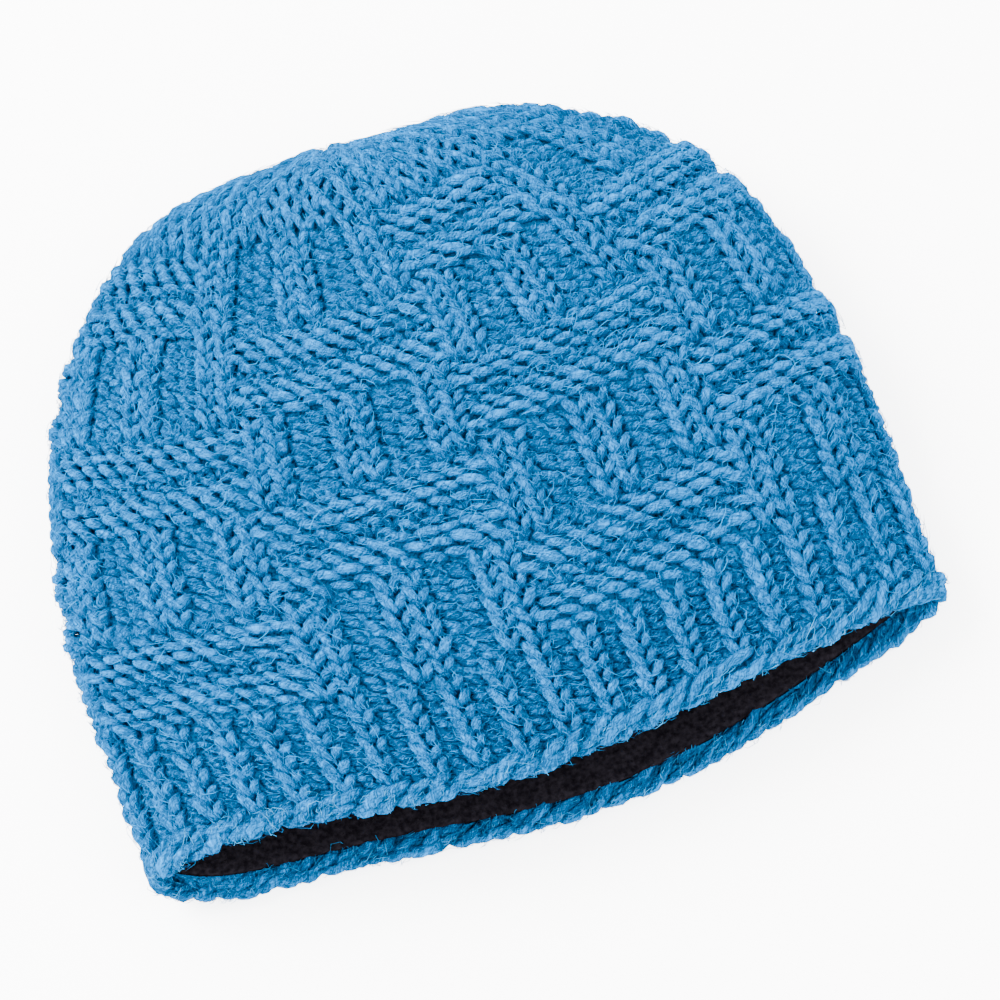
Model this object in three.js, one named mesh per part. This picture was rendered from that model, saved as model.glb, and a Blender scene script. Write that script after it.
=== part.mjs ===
// A hand-knitted beanie with a ribbed brim, a basketweave body and a fleece band inside,
// lying on its back as it would on a table, with its mouth towards -Y and its crown towards +Y.
// Millimetres, +Z up. The table is the plane z = 0, and the origin lies under the middle of the hat.

import * as THREE from 'three';

// Driving dimensions
const MOUTH_WIDTH = 236;        // across the rim, fold to fold
const PUFF_HEIGHT = 57;         // how high the lying hat stands
const CAST_ON_HEIGHT = 6;       // rolled first row at the rim
const RIB_HEIGHT = 28.5;        // 1 x 1 ribbing above it
const TIER_HEIGHT = 30.3;       // one tier of basketweave
const CROWN_HEIGHT = 34;        // decreases, up to the gathered centre
const KNIT_WALL = 4.4;          // fabric from its hollows to its wrong side
const CAST_ON_ROLL = 1.2;       // how far the first row stands proud
const CAST_ON_TWIST = 0.5;      // each second loop of it stands this much lower
const RIB_RELIEF = 2.0;         // knit wales over purl wales in the brim
const WALE_RELIEF = 2.2;        // knit wales over purl wales in the body
const WELT_RELIEF = 3.0;        // crests of the cross welts in the body
const WELT_VALLEY = 0.6;        // hollows between those crests
const PLEAT_DEPTH = 1.4;        // gathers that run into the crown's centre
const GATHER_DIP = 3;           // how far the centre is drawn in
const LINING_WALL = 2;          // fleece
const LINING_DEPTH = 70;        // fleece band, from the rim inwards
const LINING_SETBACK = 3;       // its edge lies this far inside the rim
const FIT_GAP = 0.3;            // between neighbouring pieces

// Knitting chart
const TIERS = 5;                // basketweave tiers, rim to crown
const BLOCKS = 8;               // blocks round the head
const BLOCK_WALES = 10;         // stitches across one block
const WALES_PER_RIB = 2;        // knit 2, purl 2 in the upright blocks
const BOUNDARY_SHARE = 0.5;     // of that relief where one tier meets the next
const WELTS = 2;                // cross welts in one block
const TURN_WALES = 1.5;         // a block edge lies this many stitches right of the middle

const WALES = BLOCKS * BLOCK_WALES;
const RIM_TO_BRIM_TOP = CAST_ON_HEIGHT + RIB_HEIGHT;
const RIM_TO_CROWN = RIM_TO_BRIM_TOP + TIERS * TIER_HEIGHT;
const WALE_LENGTH = RIM_TO_CROWN + CROWN_HEIGHT;

// Rows of a table under their columns' names
const table = (columns, rows) => rows.map(
  (row) => Object.fromEntries(columns.map((column, place) => [column, row[place]])),
);

// The lying hat, section by section from the rim to the gathered centre.
// along: share of the wale's length. half and lean: half width and sideways shift, shares of
// the mouth's width. A reach is a share of the wale's length from the rim's corners, a rise a share
// of the puffed height: of the fold at the side and of the middle of the upper and under layers.
const SECTIONS = table(
  ['along', 'half', 'foldReach', 'foldRise', 'topReach', 'topRise', 'underReach', 'underRise', 'lean'],
  [
    [0.000, 0.492, 0.010, 0.170, -0.072, 0.580, -0.092, -0.02, 0.000],
    [0.157, 0.500, 0.180, 0.220, 0.066, 0.780, 0.070, -0.02, -0.003],
    [0.295, 0.502, 0.305, 0.260, 0.194, 0.890, 0.205, -0.02, -0.004],
    [0.432, 0.489, 0.440, 0.310, 0.322, 0.950, 0.345, -0.02, -0.003],
    [0.570, 0.458, 0.580, 0.360, 0.440, 0.950, 0.480, -0.02, 0.000],
    [0.708, 0.396, 0.706, 0.400, 0.572, 0.890, 0.610, -0.02, -0.003],
    [0.845, 0.299, 0.806, 0.420, 0.706, 0.760, 0.740, 0.00, -0.010],
    [0.930, 0.196, 0.850, 0.420, 0.795, 0.620, 0.820, 0.12, -0.016],
    [1.000, 0.000, 0.868, 0.395, 0.868, 0.395, 0.868, 0.395, -0.012],
  ],
);
const REACH_TO_MIDDLE = 0.389;       // share of the wale's length from the rim's corners to the origin
const TOP_ROUNDNESS = 2.25;          // exponent of the upper layer's arch
const UNDER_ROUNDNESS = [3.0, 2.4];  // of the under layer, at the rim and at the crown

// Swellings, lifts and stretched corners. around: share of the turn from the under layer's middle,
// over +X.
// wide and long: reach of each, as shares of half a turn and of the wale's length.
// rise and push: upwards and towards the crown, as shares of the puffed height.
const SWELLINGS = table(
  ['around', 'along', 'wide', 'long', 'rise', 'push'],
  [
    [0.66, 0.00, 0.24, 0.13, 0.10, 0.06],
    [0.77, 0.00, 0.12, 0.10, 0.00, -0.12],
    [0.91, 0.00, 0.14, 0.10, 0.00, 0.04],
    [0.06, 0.00, 0.18, 0.10, 0.00, -0.02],
    [0.25, 0.00, 0.10, 0.08, 0.00, -0.03],
    [0.50, 0.94, 0.40, 0.10, 0.09, 0.04],
    [0.27, 0.86, 0.16, 0.12, -0.01, -0.03],
    [0.66, 0.92, 0.16, 0.10, 0.03, 0.03],
  ],
);

// A smooth value between the rows of the table
function between(column, along) {
  const last = SECTIONS.length - 1;
  let low = 0;
  while (low < last - 1 && along >= SECTIONS[low + 1].along) low += 1;
  const span = SECTIONS[low + 1].along - SECTIONS[low].along;
  const share = (along - SECTIONS[low].along) / span;
  const slope = (row) => {
    const before = SECTIONS[Math.max(row - 1, 0)];
    const after = SECTIONS[Math.min(row + 1, last)];
    return (after[column] - before[column]) / (after.along - before.along);
  };
  const square = share * share;
  const cube = square * share;
  return (2 * cube - 3 * square + 1) * SECTIONS[low][column]
    + (cube - 2 * square + share) * span * slope(low)
    + (3 * square - 2 * cube) * SECTIONS[low + 1][column]
    + (cube - square) * span * slope(low + 1);
}

// One section of the hat in millimetres
function sectionAt(along) {
  return {
    half: between('half', along) * MOUTH_WIDTH,
    lean: between('lean', along) * MOUTH_WIDTH,
    fold: [between('foldReach', along) * WALE_LENGTH, between('foldRise', along) * PUFF_HEIGHT],
    top: [between('topReach', along) * WALE_LENGTH, between('topRise', along) * PUFF_HEIGHT],
    under: [between('underReach', along) * WALE_LENGTH, between('underRise', along) * PUFF_HEIGHT],
    underPower: 2 / THREE.MathUtils.lerp(UNDER_ROUNDNESS[0], UNDER_ROUNDNESS[1], along),
  };
}

// A point of a section's loop at a phase angle, drawn in by inset (sideways and in height)
function loopPoint(section, phase, inset) {
  const cosine = Math.cos(phase);
  const sine = Math.sin(phase);
  const upper = sine >= 0;
  const power = upper ? 2 / TOP_ROUNDNESS : section.underPower;
  const across = Math.sign(cosine) * Math.abs(cosine) ** power;
  const away = Math.abs(sine) ** power;
  const middle = upper ? section.top : section.under;
  const middleRise = middle[1] + (upper ? -inset : inset);
  const bow = section.half > 0 ? 1 - across * across : 1;
  return new THREE.Vector3(
    section.lean + Math.max(section.half - inset, 0) * across,
    section.fold[0] + (middle[0] - section.fold[0]) * bow - REACH_TO_MIDDLE * WALE_LENGTH,
    section.fold[1] + (middleRise - section.fold[1]) * away,
  );
}

// Phase angles that share a section's loop into equal stitches
const LOOP_SAMPLES = 720;
const loopCache = new Map();
function evenLoop(along) {
  if (!loopCache.has(along)) {
    const section = sectionAt(along);
    const lengths = [0];
    let before = loopPoint(section, -Math.PI / 2, 0);
    for (let step = 1; step <= LOOP_SAMPLES; step += 1) {
      const here = loopPoint(section, -Math.PI / 2 + (2 * Math.PI * step) / LOOP_SAMPLES, 0);
      lengths.push(lengths[step - 1] + here.distanceTo(before));
      before = here;
    }
    loopCache.set(along, { section, lengths });
  }
  return loopCache.get(along);
}

function phaseAt(around, along) {
  const { lengths } = evenLoop(along);
  const wanted = (around - Math.floor(around)) * lengths[LOOP_SAMPLES];
  let low = 0;
  let high = LOOP_SAMPLES;
  while (high - low > 1) {
    const mid = (low + high) >> 1;
    if (lengths[mid] <= wanted) low = mid;
    else high = mid;
  }
  const stretch = lengths[high] - lengths[low];
  const share = stretch > 0 ? (wanted - lengths[low]) / stretch : around - low / LOOP_SAMPLES;
  return -Math.PI / 2 + (2 * Math.PI * (low + share)) / LOOP_SAMPLES;
}

function swell(point, around, along) {
  for (const row of SWELLINGS) {
    const turn = Math.abs(((around - row.around + 1.5) % 1) - 0.5);
    const sideways = (turn * 2) / row.wide;
    const lengthways = (along - row.along) / row.long;
    const strength = Math.exp(-(sideways * sideways + lengthways * lengthways));
    point.z += row.rise * PUFF_HEIGHT * strength;
    point.y += row.push * PUFF_HEIGHT * strength;
  }
  return point;
}

// How far the fabric faces the crown's end at a place, from 0 to 1
const NUDGE = 0.004;
function facingCrown(around, along) {
  const inside = Math.min(Math.max(along, NUDGE), 1 - 2 * NUDGE);
  const point = (u, t) => loopPoint(evenLoop(t).section, phaseAt(u, t), 0);
  const alongWale = point(around, inside + NUDGE).sub(point(around, inside - NUDGE));
  const alongRow = point(around + NUDGE, inside).sub(point(around - NUDGE, inside));
  return THREE.MathUtils.clamp(alongWale.cross(alongRow).normalize().y, 0, 1);
}

// The knitted fabric: a place on it, lifted outwards from its outer face (inwards where negative).
// What would pass below the table is pressed flat on it.
function fabric(around, along, lift) {
  const facing = facingCrown(around, along);
  const sideways = Math.sqrt(1 - facing * facing);
  const point = loopPoint(evenLoop(along).section, phaseAt(around, along), -lift * sideways);
  point.y += lift * facing;
  swell(point, around, along);
  point.z = Math.max(point.z, 0, -lift);
  return point;
}

const waleCentre = (wale) => (wale + 0.5 + WALES / 2 - TURN_WALES) / WALES;
const share = (length) => length / WALE_LENGTH;

// A ring of fabric: a closed profile of places on the wale, swept round the hat, wale by wale.
// Each profile row gives along and a lift for each wale. A capped ring closes at the crown's centre.
// Outer and inner faces, and faces that meet another piece, are cut on the same diagonal.
function ringMesh(name, rows, material, closing) {
  const positions = [];
  const index = [];
  for (const row of rows) {
    for (let wale = 0; wale < WALES; wale += 1) {
      positions.push(...fabric(waleCentre(wale), row.along, row.lift(wale)).toArray());
    }
  }
  const quad = (a, b, c, d, rising) => {
    if (rising) index.push(a, c, b, a, d, c);
    else index.push(a, d, b, b, d, c);
  };
  const bands = closing ? rows.length - 1 : rows.length;
  for (let band = 0; band < bands; band += 1) {
    if (closing && band === closing.after) continue;
    const after = (band + 1) % rows.length;
    const climb = rows[after].along - rows[band].along;
    const rising = climb > 0 || (climb === 0 && rows[after].lift(0) < rows[band].lift(0));
    const here = band * WALES;
    const next = after * WALES;
    for (let wale = 0; wale < WALES; wale += 1) {
      const side = (wale + 1) % WALES;
      quad(here + wale, here + side, next + side, next + wale, rising);
    }
  }
  if (closing) {
    const tips = [closing.outer, closing.inner].map((tip) => {
      positions.push(...tip.toArray());
      return positions.length / 3 - 1;
    });
    const outerRow = closing.after * WALES;
    const innerRow = (closing.after + 1) * WALES;
    const lastRow = (rows.length - 1) * WALES;
    for (let wale = 0; wale < WALES; wale += 1) {
      const side = (wale + 1) % WALES;
      index.push(outerRow + side, outerRow + wale, tips[0]);
      index.push(tips[1], innerRow + wale, innerRow + side);
      quad(lastRow + wale, lastRow + side, side, wale, false);
    }
  }
  const geometry = new THREE.BufferGeometry();
  geometry.setAttribute('position', new THREE.Float32BufferAttribute(positions, 3));
  geometry.setIndex(index);
  geometry.computeVertexNormals();
  const mesh = new THREE.Mesh(geometry, material);
  mesh.name = name;
  return mesh;
}

const wool = (color) => new THREE.MeshStandardMaterial({ color, roughness: 0.95, metalness: 0 });
const fleece = new THREE.MeshStandardMaterial({ color: 0x1c1a22, roughness: 1, metalness: 0 });

// Rolled first row: a bead whose loops stand up and down in turn.
// Each row of its profile gives a share of its height and a share of the roll.
const BEAD = table(['height', 'roll'], [[0.12, 0.1], [0.5, 1], [1, 0.3]]);
function castOnEdge() {
  const height = CAST_ON_HEIGHT - FIT_GAP / 2;
  const rows = BEAD.map(({ height: part, roll }) => ({
    along: share(height * part),
    lift: (wale) => CAST_ON_ROLL * roll - (wale % 2) * CAST_ON_TWIST,
  }));
  rows.push(
    { along: share(height), lift: () => -KNIT_WALL },
    { along: share(height * BEAD[0].height), lift: () => -KNIT_WALL },
    { along: 0, lift: () => -KNIT_WALL / 2 },
  );
  return ringMesh('cast_on_edge', rows, wool(0x3f97cf));
}

// 1 x 1 ribbing: every second wale is knit and stands proud, and the ribs run into the body's chart
const RIB = table(['height', 'relief'], [[0, 0.5], [0.25, 1], [0.85, 1]]);
function ribBrim() {
  const start = CAST_ON_HEIGHT + FIT_GAP / 2;
  const end = RIM_TO_BRIM_TOP - FIT_GAP / 2;
  const rows = RIB.map(({ height, relief }) => ({
    along: share(start + (end - start) * height),
    lift: (wale) => (wale % 2 === 0 ? RIB_RELIEF * relief : 0),
  }));
  rows.push(
    { along: share(end), lift: (wale) => basketRelief(wale, 0) },
    { along: share(end), lift: () => -KNIT_WALL },
    { along: share(start), lift: () => -KNIT_WALL },
  );
  return ringMesh('rib_brim', rows, wool(0x3a90c8));
}

// The chart: upright blocks (knit 2, purl 2) and blocks of cross welts take turns.
// A welt is two purl rows that stand proud, up to a knit row that sinks behind them.
const WELT = table(['height', 'crest'], [[0, 0], [0.28, 1], [0.78, 0.9]]);
const TIER_STEPS = WELTS * WELT.length;

function basketRelief(wale, step) {
  const tier = Math.min(Math.floor(step / TIER_STEPS), TIERS - 1);
  const stepInTier = step - tier * TIER_STEPS;
  const block = Math.floor(wale / BLOCK_WALES);
  if ((block + tier) % 2 === 1) {
    return THREE.MathUtils.lerp(WELT_VALLEY, WELT_RELIEF, WELT[stepInTier % WELT.length].crest);
  }
  const atBoundary = stepInTier === 0 || stepInTier === TIER_STEPS;
  const knit = (wale % BLOCK_WALES) % (2 * WALES_PER_RIB) < WALES_PER_RIB;
  return (knit ? WALE_RELIEF : 0) * (atBoundary ? BOUNDARY_SHARE : 1);
}

function basketweaveBody() {
  const start = RIM_TO_BRIM_TOP + FIT_GAP / 2;
  const end = RIM_TO_CROWN - FIT_GAP / 2;
  const welts = TIERS * WELTS;
  const rows = [];
  for (let step = 0; step <= TIERS * TIER_STEPS; step += 1) {
    const welt = Math.floor(step / WELT.length) + WELT[step % WELT.length].height;
    rows.push({
      along: share(start + ((end - start) * welt) / welts),
      lift: (wale) => basketRelief(wale, step),
    });
  }
  const innerStops = [end, (LINING_DEPTH + end) / 2, LINING_DEPTH, start];
  rows.push(...innerStops.map((stop) => ({ along: share(stop), lift: () => -KNIT_WALL })));
  return ringMesh('basketweave_body', rows, wool(0x3a90c8));
}

// The decreases run together in gathers, and the centre is drawn in.
// The outer and inner faces end a little before the centre, as shares of the wale's length,
// and fan out from it there.
const OUTER_FAN = 0.985;
const INNER_FAN = 0.965;
const OUTER_BANDS = 5;
const INNER_BANDS = 3;
const DIP_START = 0.5;          // share of the crown's height where it starts to draw in

function crownTop() {
  const start = share(RIM_TO_CROWN + FIT_GAP / 2);
  const pleat = (rise) => (wale) => {
    const turn = (2 * Math.PI * (wale % BLOCK_WALES)) / BLOCK_WALES;
    const dip = GATHER_DIP * Math.max(0, rise - DIP_START);
    const seam = basketRelief(wale, TIERS * TIER_STEPS) * Math.max(0, 1 - 2 * rise);
    return seam + PLEAT_DEPTH * rise * (1 - rise * 0.5) * (1 + Math.cos(turn)) - dip;
  };
  const rows = [];
  for (let band = 0; band <= OUTER_BANDS; band += 1) {
    const rise = band / OUTER_BANDS;
    rows.push({ along: start + (OUTER_FAN - start) * rise, lift: pleat(rise) });
  }
  for (let band = INNER_BANDS; band >= 0; band -= 1) {
    rows.push({ along: start + ((INNER_FAN - start) * band) / INNER_BANDS, lift: () => -KNIT_WALL });
  }
  const outer = fabric(0, 1, -GATHER_DIP);
  const inner = fabric(0, 1, -GATHER_DIP - KNIT_WALL);
  return ringMesh('crown_top', rows, wool(0x3a90c8), { after: OUTER_BANDS, outer, inner });
}

// Fleece band behind the brim and the first basketweave tier
function fleeceLining() {
  const outside = () => -(KNIT_WALL + FIT_GAP);
  const inside = () => -(KNIT_WALL + FIT_GAP + LINING_WALL);
  const stops = [LINING_SETBACK, RIM_TO_BRIM_TOP, LINING_DEPTH];
  const rows = [
    ...stops.map((stop) => ({ along: share(stop), lift: outside })),
    ...stops.toReversed().map((stop) => ({ along: share(stop), lift: inside })),
  ];
  return ringMesh('fleece_lining', rows, fleece);
}

const group = new THREE.Group();
group.add(castOnEdge());
group.add(ribBrim());
group.add(basketweaveBody());
group.add(crownTop());
group.add(fleeceLining());

export default group;
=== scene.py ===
# %% [markdown]
# A hand-knitted beanie, dressed stitch by stitch.
#
# The hat lies on its back on a pale table, its ribbed mouth towards us and its gathered crown away.
# The frame holds its solids: hollow walls with low ribs and welts. On the real hat those walls are yarn,
# so this lesson lays one bent length of yarn for each leg of a stitch, on the same curved surface.

# %% Load the frame and the tools
import math

import bpy
import numpy as np
from mathutils import Matrix, Vector


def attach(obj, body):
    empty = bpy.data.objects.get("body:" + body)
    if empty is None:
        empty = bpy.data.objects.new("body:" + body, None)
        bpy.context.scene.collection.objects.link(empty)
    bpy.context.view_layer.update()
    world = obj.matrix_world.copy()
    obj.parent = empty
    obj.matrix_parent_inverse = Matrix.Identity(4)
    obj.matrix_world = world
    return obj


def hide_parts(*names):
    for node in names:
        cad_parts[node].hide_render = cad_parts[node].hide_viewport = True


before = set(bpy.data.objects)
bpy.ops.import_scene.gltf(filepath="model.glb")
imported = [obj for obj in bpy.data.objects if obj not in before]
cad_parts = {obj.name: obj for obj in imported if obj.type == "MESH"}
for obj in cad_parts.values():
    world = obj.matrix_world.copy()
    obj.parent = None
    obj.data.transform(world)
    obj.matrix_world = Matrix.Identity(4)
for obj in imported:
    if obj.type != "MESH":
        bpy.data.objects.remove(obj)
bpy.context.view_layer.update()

# %% [markdown]
# Sizes come first. They are the part's own driving sizes in millimetres, so that every stitch lands on
# the wall that it stands for. MM turns them into Blender's metres.

# %% Sizes of the hat
MM = 0.001
MOUTH_WIDTH = 236.0
PUFF_HEIGHT = 57.0
CAST_ON_HEIGHT = 6.0
RIB_HEIGHT = 28.5
TIER_HEIGHT = 30.3
CROWN_HEIGHT = 34.0
KNIT_WALL = 4.4
LINING_WALL = 2.0
LINING_DEPTH = 70.0
LINING_SETBACK = 3.0
FIT_GAP = 0.3
TIERS = 5
BLOCKS = 8
BLOCK_WALES = 10
TURN_WALES = 1.5

WALES = BLOCKS * BLOCK_WALES
RIM_TO_BRIM_TOP = CAST_ON_HEIGHT + RIB_HEIGHT
RIM_TO_CROWN = RIM_TO_BRIM_TOP + TIERS * TIER_HEIGHT
WALE_LENGTH = RIM_TO_CROWN + CROWN_HEIGHT
print("rim to crown centre", WALE_LENGTH, "mm,", WALES, "wales round the brim")

# %% [markdown]
# A camera is easiest to set before there is anything to look at. It looks from the mouth's side and
# well above, and it is rolled, so that the rim climbs to the right as in the photograph.

# %% Camera
CAMERA_ELEVATION = math.radians(66.0)
CAMERA_ROLL = math.radians(20.05)
CAMERA_LENS = 100.0
CAMERA_SENSOR = 36.0
PHOTO_SIDE = 1000.0
PHOTO_PIXELS_PER_MM = 3.53
AIM = Vector((0.0, 3.2, 28.0)) * MM
AIM_PIXEL = (441.4, 437.3)

focal_pixels = PHOTO_SIDE * CAMERA_LENS / CAMERA_SENSOR
back = Vector((0.0, -math.cos(CAMERA_ELEVATION), math.sin(CAMERA_ELEVATION)))
level_right = Vector((1.0, 0.0, 0.0))
level_up = back.cross(level_right)
right = math.cos(CAMERA_ROLL) * level_right - math.sin(CAMERA_ROLL) * level_up
up = math.cos(CAMERA_ROLL) * level_up + math.sin(CAMERA_ROLL) * level_right
metres_per_pixel = MM / PHOTO_PIXELS_PER_MM
centre = AIM + right * (PHOTO_SIDE / 2 - AIM_PIXEL[0]) * metres_per_pixel
centre = centre - up * (PHOTO_SIDE / 2 - AIM_PIXEL[1]) * metres_per_pixel
place = centre + back * (focal_pixels * metres_per_pixel)

bpy.ops.object.select_all(action="DESELECT")
bpy.ops.object.camera_add(location=place)
camera = bpy.context.object
camera.name = "photo_camera"
camera.data.lens = CAMERA_LENS
camera.data.sensor_width = CAMERA_SENSOR
camera.rotation_euler = Matrix((right, up, back)).transposed().to_euler()
bpy.context.scene.camera = camera
print("camera at", [round(value, 3) for value in place])

# %% [markdown]
# The hat's surface is one smooth shape with two directions: `around` goes once round the head, from the
# middle of the under layer over the right fold, and `along` climbs a column of stitches, from 0 at the
# rim to 1 at the crown's centre. A short table of sections gives the shape, as in the part. The swellings
# are the part's too, except the one at 0.39: it lifts the rim a little, where the mouth gapes most.

# %% The sections of the hat
COLUMNS = (
    "along", "half", "fold_reach", "fold_rise", "top_reach", "top_rise",
    "under_reach", "under_rise", "lean",
)
SECTIONS = np.array([
    [0.000, 0.492, 0.010, 0.170, -0.072, 0.580, -0.092, -0.02, 0.000],
    [0.157, 0.500, 0.180, 0.220, 0.066, 0.780, 0.070, -0.02, -0.003],
    [0.295, 0.502, 0.305, 0.260, 0.194, 0.890, 0.205, -0.02, -0.004],
    [0.432, 0.489, 0.440, 0.310, 0.322, 0.950, 0.345, -0.02, -0.003],
    [0.570, 0.458, 0.580, 0.360, 0.440, 0.950, 0.480, -0.02, 0.000],
    [0.708, 0.396, 0.706, 0.400, 0.572, 0.890, 0.610, -0.02, -0.003],
    [0.845, 0.299, 0.806, 0.420, 0.706, 0.760, 0.740, 0.00, -0.010],
    [0.930, 0.196, 0.850, 0.420, 0.795, 0.620, 0.820, 0.12, -0.016],
    [1.000, 0.000, 0.868, 0.395, 0.868, 0.395, 0.868, 0.395, -0.012],
])
REACH_TO_MIDDLE = 0.389
TOP_ROUNDNESS = 2.25
UNDER_ROUNDNESS = (3.0, 2.4)
SWELLINGS = (
    {"around": 0.66, "along": 0.00, "wide": 0.24, "long": 0.13, "rise": 0.10, "push": 0.06},
    {"around": 0.77, "along": 0.00, "wide": 0.12, "long": 0.10, "rise": 0.00, "push": -0.12},
    {"around": 0.91, "along": 0.00, "wide": 0.14, "long": 0.10, "rise": 0.00, "push": 0.04},
    {"around": 0.06, "along": 0.00, "wide": 0.18, "long": 0.10, "rise": 0.00, "push": -0.02},
    {"around": 0.25, "along": 0.00, "wide": 0.10, "long": 0.08, "rise": 0.00, "push": -0.03},
    {"around": 0.39, "along": 0.00, "wide": 0.20, "long": 0.07, "rise": 0.045, "push": 0.035},
    {"around": 0.50, "along": 0.94, "wide": 0.40, "long": 0.10, "rise": 0.09, "push": 0.04},
    {"around": 0.27, "along": 0.86, "wide": 0.16, "long": 0.12, "rise": -0.01, "push": -0.03},
    {"around": 0.66, "along": 0.92, "wide": 0.16, "long": 0.10, "rise": 0.03, "push": 0.03},
)


def between(name, along):
    """A smooth value of one column between the table's rows."""
    stops = SECTIONS[:, 0]
    values = SECTIONS[:, COLUMNS.index(name)]
    slopes = np.gradient(values, stops)
    slopes[1:-1] = (values[2:] - values[:-2]) / (stops[2:] - stops[:-2])
    row = int(np.clip(np.searchsorted(stops, along, side="right") - 1, 0, len(stops) - 2))
    span = stops[row + 1] - stops[row]
    share = (along - stops[row]) / span
    return (
        (2 * share ** 3 - 3 * share ** 2 + 1) * values[row]
        + (share ** 3 - 2 * share ** 2 + share) * span * slopes[row]
        + (3 * share ** 2 - 2 * share ** 3) * values[row + 1]
        + (share ** 3 - share ** 2) * span * slopes[row + 1]
    )


def loop_points(along, phase, inset):
    """Points of one section's loop in millimetres, drawn in by inset."""
    size = {name: between(name, along) for name in COLUMNS[1:]}
    half = size["half"] * MOUTH_WIDTH
    upper = np.sin(phase) >= 0
    under_round = UNDER_ROUNDNESS[0] + (UNDER_ROUNDNESS[1] - UNDER_ROUNDNESS[0]) * along
    power = np.where(upper, 2 / TOP_ROUNDNESS, 2 / under_round)
    across = np.sign(np.cos(phase)) * np.abs(np.cos(phase)) ** power
    away = np.abs(np.sin(phase)) ** power
    middle_reach = np.where(upper, size["top_reach"], size["under_reach"]) * WALE_LENGTH
    middle_rise = np.where(upper, size["top_rise"], size["under_rise"]) * PUFF_HEIGHT
    middle_rise = middle_rise + np.where(upper, -inset, inset)
    bow = 1 - across ** 2 if half > 0 else 1 + 0 * across
    fold_reach = size["fold_reach"] * WALE_LENGTH
    fold_rise = size["fold_rise"] * PUFF_HEIGHT
    return np.stack([
        size["lean"] * MOUTH_WIDTH + np.maximum(half - inset, 0) * across,
        fold_reach + (middle_reach - fold_reach) * bow - REACH_TO_MIDDLE * WALE_LENGTH,
        fold_rise + (middle_rise - fold_rise) * away,
    ], axis=-1)


LOOP_SAMPLES = 720
sample_phases = -math.pi / 2 + 2 * math.pi * np.arange(LOOP_SAMPLES + 1) / LOOP_SAMPLES


def even_phases(around, along):
    """Phase angles that share a section's loop into equal stitches."""
    loop = loop_points(along, sample_phases, 0)
    steps = np.linalg.norm(np.diff(loop, axis=0), axis=1)
    lengths = np.concatenate([[0], np.cumsum(steps)])
    return np.interp((around % 1) * lengths[-1], lengths, sample_phases)


def swell(points, around, along):
    """Adds the swellings to points."""
    for row in SWELLINGS:
        turn = np.abs((around - row["around"] + 1.5) % 1 - 0.5)
        strength = np.exp(
            -((2 * turn / row["wide"]) ** 2) - ((along - row["along"]) / row["long"]) ** 2
        )
        points[..., 2] += row["rise"] * PUFF_HEIGHT * strength
        points[..., 1] += row["push"] * PUFF_HEIGHT * strength
    return points


# %% [markdown]
# Thousands of stitches ask for places on this surface, so it is worked out once on a fine net, with its
# outward direction at each knot. Between the knots a place is blended from its four neighbours. Where
# the hat lies on the table, the net stays a strand's radius above it. Before the rim the net curls round
# the edge of the wall and back inside, so that the edge's yarn can wrap it.

# %% A fine net over the hat
AROUND_KNOTS = 640
ALONG_KNOTS = 430
EDGE_RADIUS = 2.2
INNER_RUN = 6.0
ALONG_FROM = -(math.pi * EDGE_RADIUS + INNER_RUN) / WALE_LENGTH
BED_HEIGHT = 2.2

net_around = np.arange(AROUND_KNOTS) / AROUND_KNOTS
net_along = np.linspace(ALONG_FROM, 1, ALONG_KNOTS + 1)


def net_row(along):
    """One row of the net on the hat's outside."""
    return loop_points(along, even_phases(net_around, along), 0)


def outward(net):
    """Unit directions out of the net."""
    down_wale = np.gradient(net, axis=0)
    along_row = np.roll(net, -1, axis=1) - np.roll(net, 1, axis=1)
    out = np.cross(down_wale, along_row)
    out[-1] = out[-2].mean(axis=0)
    return out / np.maximum(np.linalg.norm(out, axis=-1, keepdims=True), 1e-9)


def unit(vectors):
    """Vectors drawn to length one."""
    return vectors / np.maximum(np.linalg.norm(vectors, axis=-1, keepdims=True), 1e-9)


curl_rows = int(np.sum(net_along < 0))
outside = np.array([net_row(along) for along in np.maximum(net_along, 0)])
facing_net = np.clip(outward(outside)[..., 1], 0, 1)
facing_net[:curl_rows] = facing_net[curl_rows + 1]
net = swell(outside, net_around[None, :], np.maximum(net_along, 0)[:, None])
room_net = KNIT_WALL - FIT_GAP - np.maximum(BED_HEIGHT - net[..., 2], 0)
net[..., 2] = np.maximum(net[..., 2], BED_HEIGHT)

first_row = net[curl_rows]
edge_out = outward(net[curl_rows:curl_rows + 4])[0]
edge_ahead = unit(first_row - net[curl_rows + 3])
for row in range(curl_rows):
    travel = -net_along[row] * WALE_LENGTH
    bend = min(travel / EDGE_RADIUS, math.pi)
    spoke = math.cos(bend) * edge_out + math.sin(bend) * edge_ahead
    inside = max(travel - math.pi * EDGE_RADIUS, 0)
    net[row] = first_row + EDGE_RADIUS * (spoke - edge_out) - inside * edge_ahead
out_net = outward(net)
row_lengths = np.linalg.norm(np.diff(np.concatenate([net, net[:, :1]], axis=1), axis=1), axis=-1)
girths = row_lengths.sum(axis=1)
print("net", net.shape, "girth at rim and widest", round(girths[0], 1), round(girths.max(), 1))


def blend(values, around, along):
    """Values of a net at any places."""
    column = (around % 1) * AROUND_KNOTS
    left = np.floor(column).astype(int)
    row = np.clip((along - ALONG_FROM) / (1 - ALONG_FROM), 0, 1) * ALONG_KNOTS
    low = np.minimum(np.floor(row).astype(int), ALONG_KNOTS - 1)
    side = column - left
    rise = row - low
    if values.ndim == 3:
        side = side[..., None]
        rise = rise[..., None]
    left = left % AROUND_KNOTS
    next_left = (left + 1) % AROUND_KNOTS
    lower = values[low, left] * (1 - side) + values[low, next_left] * side
    upper = values[low + 1, left] * (1 - side) + values[low + 1, next_left] * side
    return lower * (1 - rise) + upper * rise


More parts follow.
